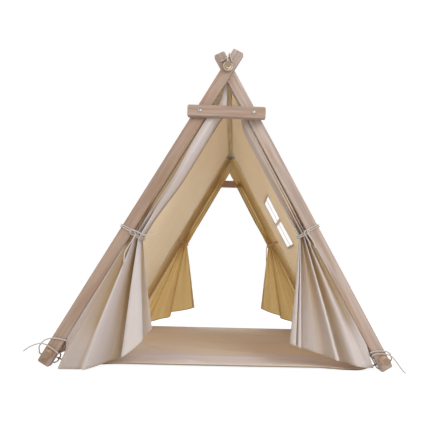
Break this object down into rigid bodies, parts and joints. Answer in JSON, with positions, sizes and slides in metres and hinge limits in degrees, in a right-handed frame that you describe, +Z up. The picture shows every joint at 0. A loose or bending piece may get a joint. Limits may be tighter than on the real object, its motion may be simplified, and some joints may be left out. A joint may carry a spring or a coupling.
{
  "type": "play tent",
  "caption": "Child's wooden A-frame play tent with a canvas canopy, tied-back doors, a floor mat and cord ties.",
  "frame": {"origin": "On the floor at the middle of the tent's footprint, on the underside of the floor mat.", "axes": "+X to the right seen from the front, across the A-frames; -Y out of the front doorway, so the ridge runs along Y; +Z up."},
  "size_m": [1.283, 1.1735, 1.1806],
  "materials": {
    "board_wood": "matte",
    "pole_wood": "matte",
    "steel": "satin",
    "wall_canvas": "matte",
    "door_canvas": "matte",
    "mat_canvas": "matte",
    "eyelet_brass": "satin",
    "cotton_cord": "matte"
  },
  "bodies": {
    "left_frame": {"front_left_leg": "board_wood", "rear_left_leg": "board_wood", "left_base_rail": "pole_wood", "ridge_pole": "pole_wood", "left_wall": "wall_canvas", "front_left_door": "door_canvas", "rear_left_door": "door_canvas", "floor_mat": "mat_canvas", "front_left_grommet": "eyelet_brass", "rear_left_grommet": "eyelet_brass", "front_left_tie_back": "cotton_cord", "rear_left_tie_back": "cotton_cord", "front_left_foot_tie": "cotton_cord", "rear_left_foot_tie": "cotton_cord", "front_ridge_lashing": "cotton_cord", "rear_ridge_lashing": "cotton_cord", "front_pivot_bolt": "steel", "front_pivot_nut": "steel", "rear_release_barrel": "steel"},
    "right_frame": {"front_right_leg": "board_wood", "rear_right_leg": "board_wood", "right_base_rail": "pole_wood", "right_wall": "wall_canvas", "window_straps": "wall_canvas", "front_right_door": "door_canvas", "rear_right_door": "door_canvas", "front_right_grommet": "eyelet_brass", "rear_right_grommet": "eyelet_brass", "front_right_tie_back": "cotton_cord", "rear_right_tie_back": "cotton_cord", "front_right_foot_tie": "cotton_cord", "rear_right_foot_tie": "cotton_cord", "front_release_barrel": "steel", "rear_pivot_bolt": "steel", "rear_pivot_nut": "steel"},
    "front_crossbar": {"front_crossbar": "board_wood", "front_spacer": "board_wood", "front_release_bolt": "steel"},
    "rear_crossbar": {"rear_crossbar": "board_wood", "rear_spacer": "board_wood", "rear_release_bolt": "steel"}
  },
  "joints": [
    {"name": "fold", "type": "hinge", "parent": "left_frame", "child": "right_frame", "pos_m": [0, 0, 1.1], "axis": [0, 1, 0], "range_deg": [0, 52], "deforming": ["front_left_door", "front_right_door", "rear_left_door", "rear_right_door", "floor_mat", "front_left_tie_back", "front_right_tie_back", "rear_left_tie_back", "rear_right_tie_back", "front_left_foot_tie", "front_right_foot_tie", "rear_left_foot_tie", "rear_right_foot_tie", "front_ridge_lashing", "rear_ridge_lashing"]},
    {"name": "front_crossbar_swing", "type": "hinge", "parent": "left_frame", "child": "front_crossbar", "pos_m": [-0.09951, -0.56, 0.9135], "axis": [0, 1, 0], "range_deg": [0, 107]},
    {"name": "rear_crossbar_swing", "type": "hinge", "parent": "right_frame", "child": "rear_crossbar", "pos_m": [0.09951, 0.56, 0.9135], "axis": [0, -1, 0], "range_deg": [0, 107]}
  ]
}
